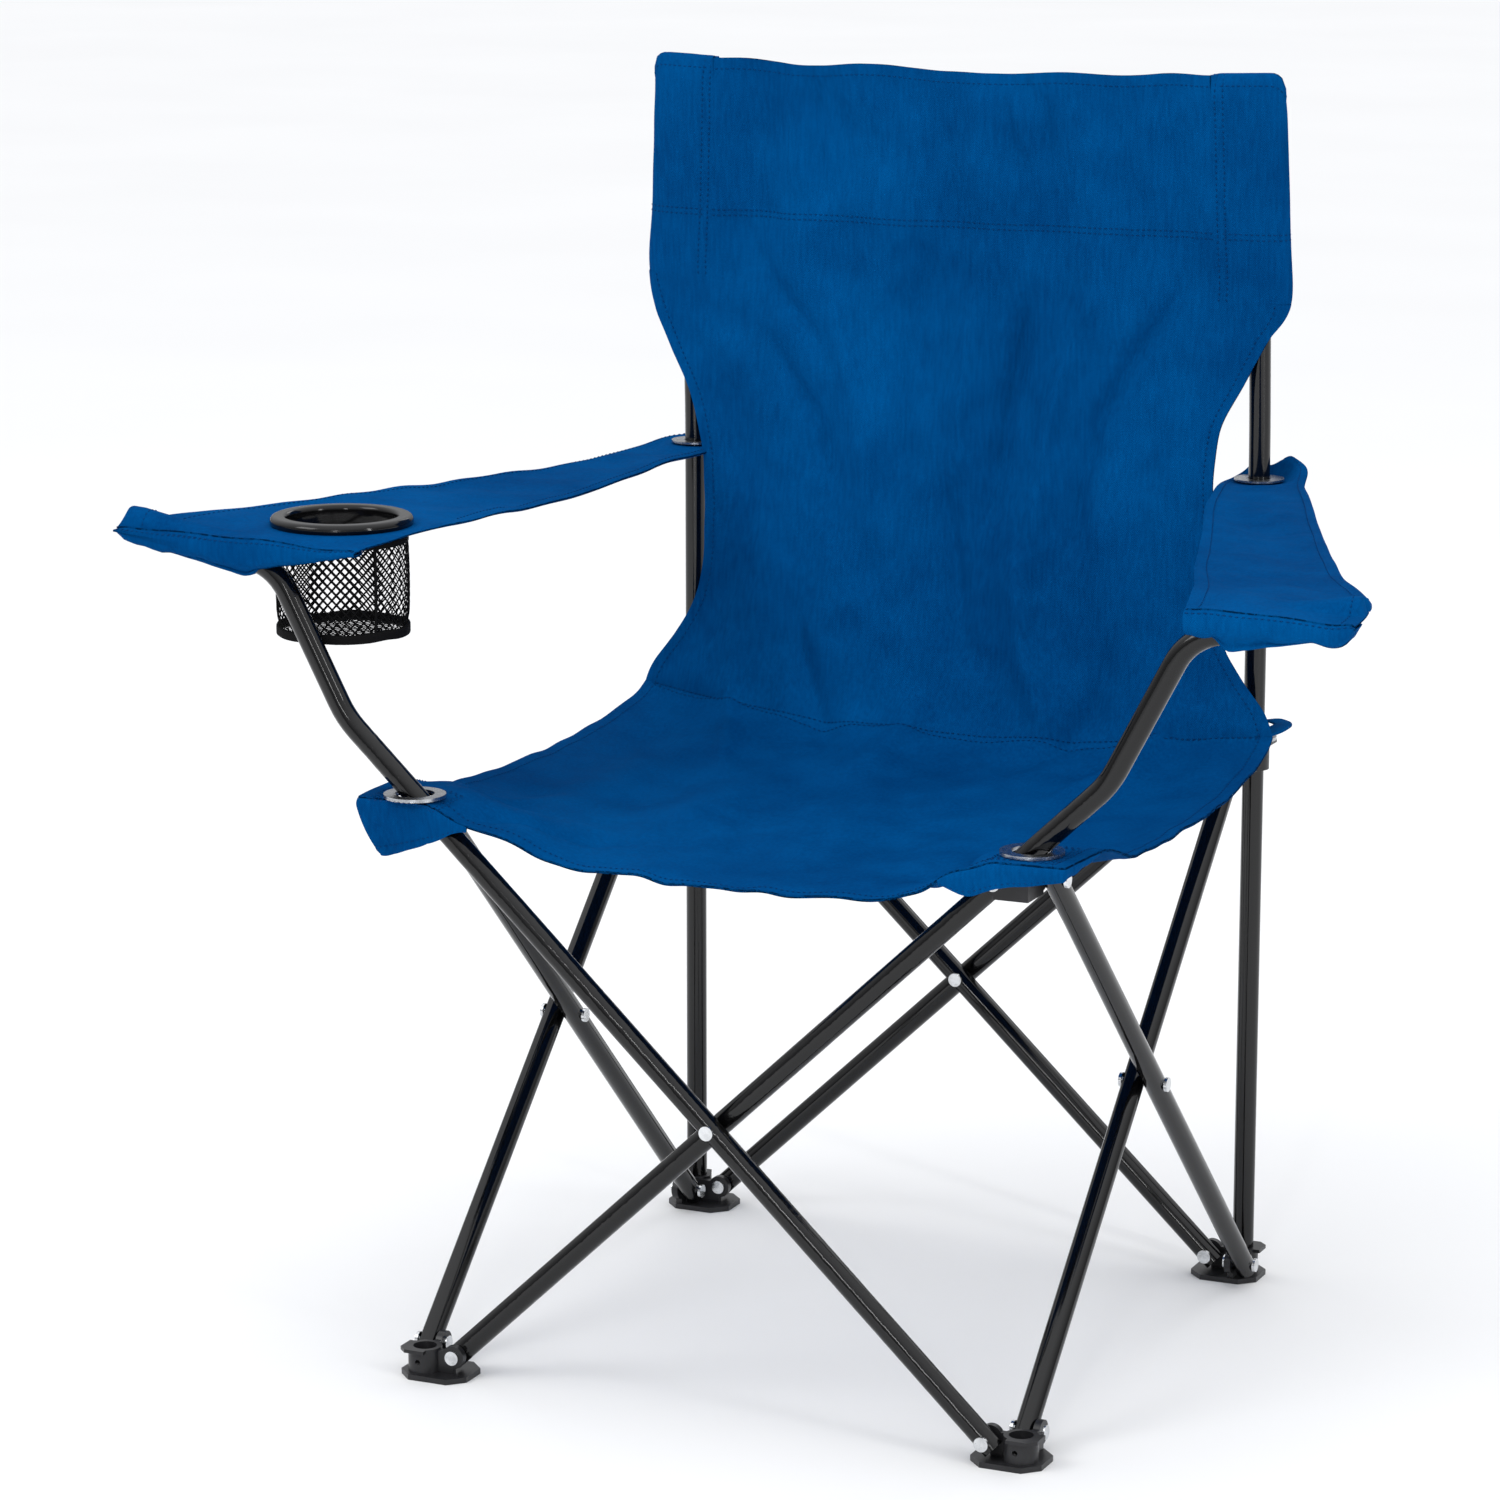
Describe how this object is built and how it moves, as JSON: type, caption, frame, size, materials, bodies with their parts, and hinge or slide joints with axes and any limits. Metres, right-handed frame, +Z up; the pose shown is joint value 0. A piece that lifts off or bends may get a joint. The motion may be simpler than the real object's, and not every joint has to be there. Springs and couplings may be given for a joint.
{
  "type": "folding camp chair",
  "caption": "Folding camp chair: hammock seat and back on a steel scissor frame with bent arm tubes, cloth armrests and a mesh cup holder in one arm.",
  "frame": {"origin": "on the floor, at the middle of the open chair's box", "axes": "+Z up, the chair faces -Y, +X is to the right seen from the front"},
  "size_m": [0.912, 0.52, 0.9156],
  "materials": {
    "blue_cloth": "woven",
    "black_tube": "gloss",
    "black_plastic": "satin",
    "black_ring": "gloss",
    "black_mesh": "open net",
    "zinc_rivet": "bright zinc",
    "metal_eyelet": "satin"
  },
  "bodies": {
    "rear_left_stand": {"foot_rear_left": "black_plastic", "foot_rivets_rear_left": "zinc_rivet", "pole_left": "black_tube", "pole_pin_left": "zinc_rivet", "pole_cap_left": "black_plastic", "back_sleeve_left": "blue_cloth", "back_panel_upper": "blue_cloth", "arm_grommet_left": "metal_eyelet"},
    "rear_right_stand": {"foot_rear_right": "black_plastic", "foot_rivets_rear_right": "zinc_rivet", "pole_right": "black_tube", "pole_pin_right": "zinc_rivet", "pole_cap_right": "black_plastic", "back_sleeve_right": "blue_cloth", "arm_grommet_right": "metal_eyelet"},
    "back_bar_to_right": {"back_bar_to_right": "black_tube", "crossing_rivet_back": "zinc_rivet"},
    "back_bar_to_left": {"back_bar_to_left": "black_tube"},
    "rear_left_slider": {"bracket_rear_left": "black_plastic", "bracket_rivets_rear_left": "zinc_rivet", "seat_eyelet_rear_left": "metal_eyelet"},
    "rear_right_slider": {"bracket_rear_right": "black_plastic", "bracket_rivets_rear_right": "zinc_rivet", "seat_eyelet_rear_right": "metal_eyelet"},
    "side_left_to_front": {"side_bar_left_to_front": "black_tube", "crossing_rivet_left": "zinc_rivet"},
    "side_left_to_rear": {"side_bar_left_to_rear": "black_tube"},
    "side_right_to_front": {"side_bar_right_to_front": "black_tube", "crossing_rivet_right": "zinc_rivet"},
    "side_right_to_rear": {"side_bar_right_to_rear": "black_tube"},
    "front_left_foot": {"foot_front_left": "black_plastic", "foot_rivets_front_left": "zinc_rivet"},
    "front_right_foot": {"foot_front_right": "black_plastic", "foot_rivets_front_right": "zinc_rivet"},
    "front_bar_to_right_arm": {"front_bar_to_right_arm": "black_tube", "crossing_rivet_front": "zinc_rivet", "arm_plug_right": "black_plastic", "arm_pocket_right": "blue_cloth", "seat_eyelet_front_right": "metal_eyelet"},
    "front_bar_to_left_arm": {"front_bar_to_left_arm": "black_tube", "arm_plug_left": "black_plastic", "arm_pocket_left": "blue_cloth", "seat_eyelet_front_left": "metal_eyelet"},
    "front_left_bracket": {"bracket_front_left": "black_plastic", "bracket_rivets_front_left": "zinc_rivet", "seat_corner_left": "blue_cloth"},
    "front_right_bracket": {"bracket_front_right": "black_plastic", "bracket_rivets_front_right": "zinc_rivet", "seat_corner_right": "blue_cloth"},
    "armrest_left": {"armrest_left": "blue_cloth"},
    "armrest_right": {"armrest_right": "blue_cloth"},
    "cup_holder": {"cup_panel": "blue_cloth", "cup_ring": "black_ring", "cup_ring_lower": "black_ring", "cup_mesh": "black_mesh", "cup_base_hoop": "black_ring"},
    "back_lower": {"back_panel_lower": "blue_cloth"},
    "seat_rear": {"seat_rear": "blue_cloth"},
    "seat_front": {"seat_front": "blue_cloth"}
  },
  "joints": [
    {"name": "fold", "type": "hinge", "parent": "rear_left_stand", "child": "back_bar_to_right", "pos_m": [-0.206, 0.2351, 0.0165], "axis": [0, -1, 0], "range_deg": [0, 43.5], "deforming": ["back_panel_upper", "back_panel_lower", "seat_rear", "seat_front", "armrest_left", "armrest_right", "arm_pocket_left", "arm_pocket_right", "cup_panel"]},
    {"name": "back_crossing", "type": "hinge", "parent": "back_bar_to_right", "child": "back_bar_to_left", "pos_m": [0, 0.227, 0.21175], "axis": [0, 1, 0], "range_deg": [0, 87.05]},
    {"name": "rear_right_foot_hinge", "type": "hinge", "parent": "back_bar_to_left", "child": "rear_right_stand", "pos_m": [0.206, 0.2189, 0.0165], "axis": [0, -1, 0], "range_deg": [0, 43.55]},
    {"name": "rear_left_slider_hinge", "type": "hinge", "parent": "back_bar_to_left", "child": "rear_left_slider", "pos_m": [-0.206, 0.2189, 0.407], "axis": [0, -1, 0], "range_deg": [0, 43.55]},
    {"name": "rear_right_slider_hinge", "type": "hinge", "parent": "back_bar_to_right", "child": "rear_right_slider", "pos_m": [0.206, 0.2351, 0.407], "axis": [0, 1, 0], "range_deg": [0, 43.55]},
    {"name": "side_left_foot_hinge", "type": "hinge", "parent": "rear_left_stand", "child": "side_left_to_front", "pos_m": [-0.2228, 0.206, 0.0165], "axis": [-1, 0, 0], "range_deg": [0, 43.55]},
    {"name": "side_left_crossing", "type": "hinge", "parent": "side_left_to_front", "child": "side_left_to_rear", "pos_m": [-0.2309, 0, 0.21175], "axis": [1, 0, 0], "range_deg": [0, 87.05]},
    {"name": "front_left_foot_hinge", "type": "hinge", "parent": "side_left_to_rear", "child": "front_left_foot", "pos_m": [-0.239, -0.206, 0.0165], "axis": [-1, 0, 0], "range_deg": [0, 43.55]},
    {"name": "front_bar_foot_hinge", "type": "hinge", "parent": "front_left_foot", "child": "front_bar_to_right_arm", "pos_m": [-0.206, -0.2218, 0.0165], "axis": [0, -1, 0], "range_deg": [0, 43.55]},
    {"name": "front_crossing", "type": "hinge", "parent": "front_bar_to_right_arm", "child": "front_bar_to_left_arm", "pos_m": [0, -0.2299, 0.21175], "axis": [0, 1, 0], "range_deg": [0, 87.05]},
    {"name": "front_right_foot_hinge", "type": "hinge", "parent": "front_bar_to_left_arm", "child": "front_right_foot", "pos_m": [0.206, -0.238, 0.0165], "axis": [0, -1, 0], "range_deg": [0, 43.55]},
    {"name": "front_left_bracket_hinge", "type": "hinge", "parent": "front_bar_to_left_arm", "child": "front_left_bracket", "pos_m": [-0.206, -0.238, 0.407], "axis": [0, -1, 0], "range_deg": [0, 43.55]},
    {"name": "front_right_bracket_hinge", "type": "hinge", "parent": "front_bar_to_right_arm", "child": "front_right_bracket", "pos_m": [0.206, -0.2218, 0.407], "axis": [0, 1, 0], "range_deg": [0, 43.55]},
    {"name": "side_right_foot_hinge", "type": "hinge", "parent": "rear_right_stand", "child": "side_right_to_front", "pos_m": [0.239, 0.206, 0.0165], "axis": [-1, 0, 0], "range_deg": [0, 43.55]},
    {"name": "side_right_crossing", "type": "hinge", "parent": "side_right_to_front", "child": "side_right_to_rear", "pos_m": [0.2309, 0, 0.21175], "axis": [1, 0, 0], "range_deg": [0, 87.05]},
    {"name": "armrest_left_swing", "type": "hinge", "parent": "rear_left_stand", "child": "armrest_left", "pos_m": [-0.2295, 0.232, 0.61], "axis": [-0.928, 0.2798, 0.246], "range_deg": [0, 90.76]},
    {"name": "armrest_right_swing", "type": "hinge", "parent": "rear_right_stand", "child": "armrest_right", "pos_m": [0.2295, 0.232, 0.61], "axis": [-0.9342, -0.2897, -0.2082], "range_deg": [0, 85.76]},
    {"name": "cup_holder_swing", "type": "hinge", "parent": "front_bar_to_left_arm", "child": "cup_holder", "pos_m": [-0.315, -0.2615, 0.6045], "axis": [1, 0, 0], "range_deg": [0, 255.05]},
    {"name": "back_lower_lift", "type": "slide", "parent": "rear_left_stand", "child": "back_lower", "axis": [0, 0, 1], "range_m": [0, 0.17686]},
    {"name": "seat_rear_drop", "type": "hinge", "parent": "back_lower", "child": "seat_rear", "pos_m": [0, 0.201, 0.398], "axis": [1, 0, 0], "range_deg": [0, 85.05]},
    {"name": "seat_front_drop", "type": "hinge", "parent": "seat_rear", "child": "seat_front", "pos_m": [0, -0.012, 0.398], "axis": [-1, 0, 0], "range_deg": [0, 170.05]}
  ],
  "couplings": [
    {"joint": "back_crossing", "follows": "fold", "ratio": 2},
    {"joint": "rear_right_foot_hinge", "follows": "fold", "ratio": 1},
    {"joint": "rear_left_slider_hinge", "follows": "fold", "ratio": 1},
    {"joint": "rear_right_slider_hinge", "follows": "fold", "ratio": 1},
    {"joint": "side_left_foot_hinge", "follows": "fold", "ratio": 1},
    {"joint": "side_left_crossing", "follows": "fold", "ratio": 2},
    {"joint": "front_left_foot_hinge", "follows": "fold", "ratio": 1},
    {"joint": "front_bar_foot_hinge", "follows": "fold", "ratio": 1},
    {"joint": "front_crossing", "follows": "fold", "ratio": 2},
    {"joint": "front_right_foot_hinge", "follows": "fold", "ratio": 1},
    {"joint": "front_left_bracket_hinge", "follows": "fold", "ratio": 1},
    {"joint": "front_right_bracket_hinge", "follows": "fold", "ratio": 1},
    {"joint": "side_right_foot_hinge", "follows": "fold", "ratio": 1},
    {"joint": "side_right_crossing", "follows": "fold", "ratio": 2},
    {"joint": "armrest_left_swing", "follows": "fold", "ratio": 2.0854},
    {"joint": "armrest_right_swing", "follows": "fold", "ratio": 1.9704},
    {"joint": "cup_holder_swing", "follows": "fold", "ratio": 5.8621},
    {"joint": "back_lower_lift", "follows": "fold", "m_per_rad": 0.23229},
    {"joint": "seat_rear_drop", "follows": "fold", "ratio": 1.954},
    {"joint": "seat_front_drop", "follows": "fold", "ratio": 3.908}
  ]
}
